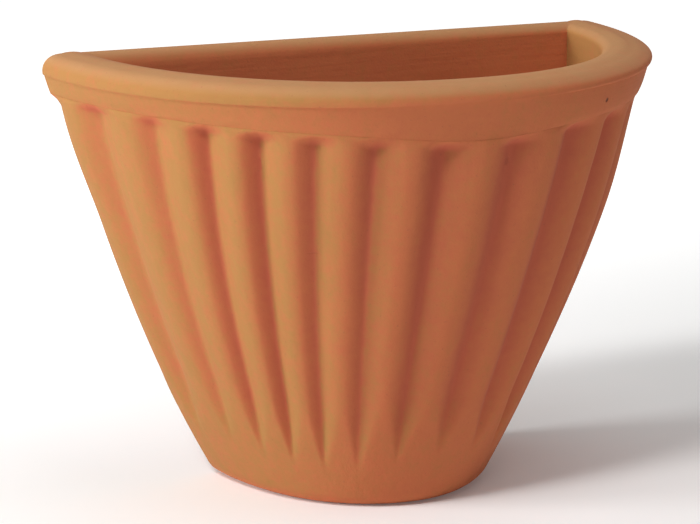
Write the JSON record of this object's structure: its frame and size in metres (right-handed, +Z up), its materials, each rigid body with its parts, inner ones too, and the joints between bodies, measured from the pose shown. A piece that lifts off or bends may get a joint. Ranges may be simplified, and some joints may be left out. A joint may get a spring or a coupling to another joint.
{
  "type": "wall planter",
  "caption": "Half-round fluted terracotta wall planter with a rolled rim, flat back with hanging holes, and a drain hole in the floor.",
  "frame": {"origin": "on the flat back that hangs on the wall, midway between the two hanging holes", "axes": "+Z up, +X along the wall to the right as seen from the room, +Y into the wall, so the half-round front faces -Y"},
  "size_m": [0.3, 0.165, 0.213],
  "materials": {
    "terracotta": "matte, unglazed, softly mottled fired clay"
  },
  "bodies": {
    "root": {"base_slab": "terracotta", "back_slab": "terracotta", "fluted_wall": "terracotta", "collar_band": "terracotta", "rim_roll": "terracotta"}
  },
  "joints": []
}
